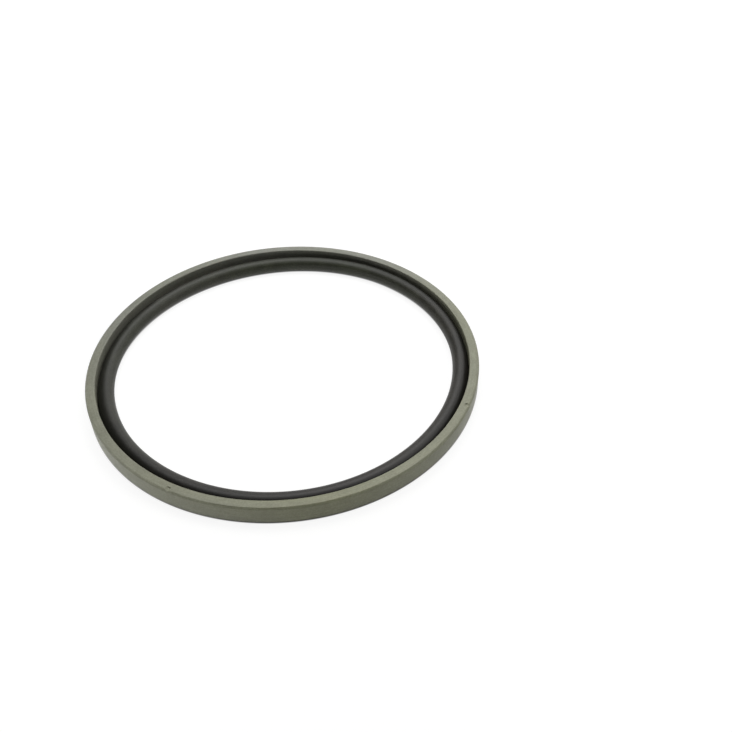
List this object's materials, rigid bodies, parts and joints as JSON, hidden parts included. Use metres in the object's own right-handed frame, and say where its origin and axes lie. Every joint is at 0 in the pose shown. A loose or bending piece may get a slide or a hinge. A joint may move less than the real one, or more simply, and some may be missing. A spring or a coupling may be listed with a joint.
{
  "type": "piston seal",
  "caption": "Two-piece piston seal: a flat-faced slide ring of filled PTFE with a round rubber O-ring lying inside it.",
  "frame": {"origin": "middle of the underside, on the rings' shared axis, where the seal lies flat", "axes": "+Z along the axis of both rings, away from the surface that they lie on"},
  "size_m": [0.125, 0.125, 0.0062],
  "materials": {
    "filled_ptfe": "satin, turned",
    "nitrile_rubber": "satin, moulded"
  },
  "bodies": {
    "root": {"slide_ring": "filled_ptfe", "o_ring": "nitrile_rubber"}
  },
  "joints": []
}
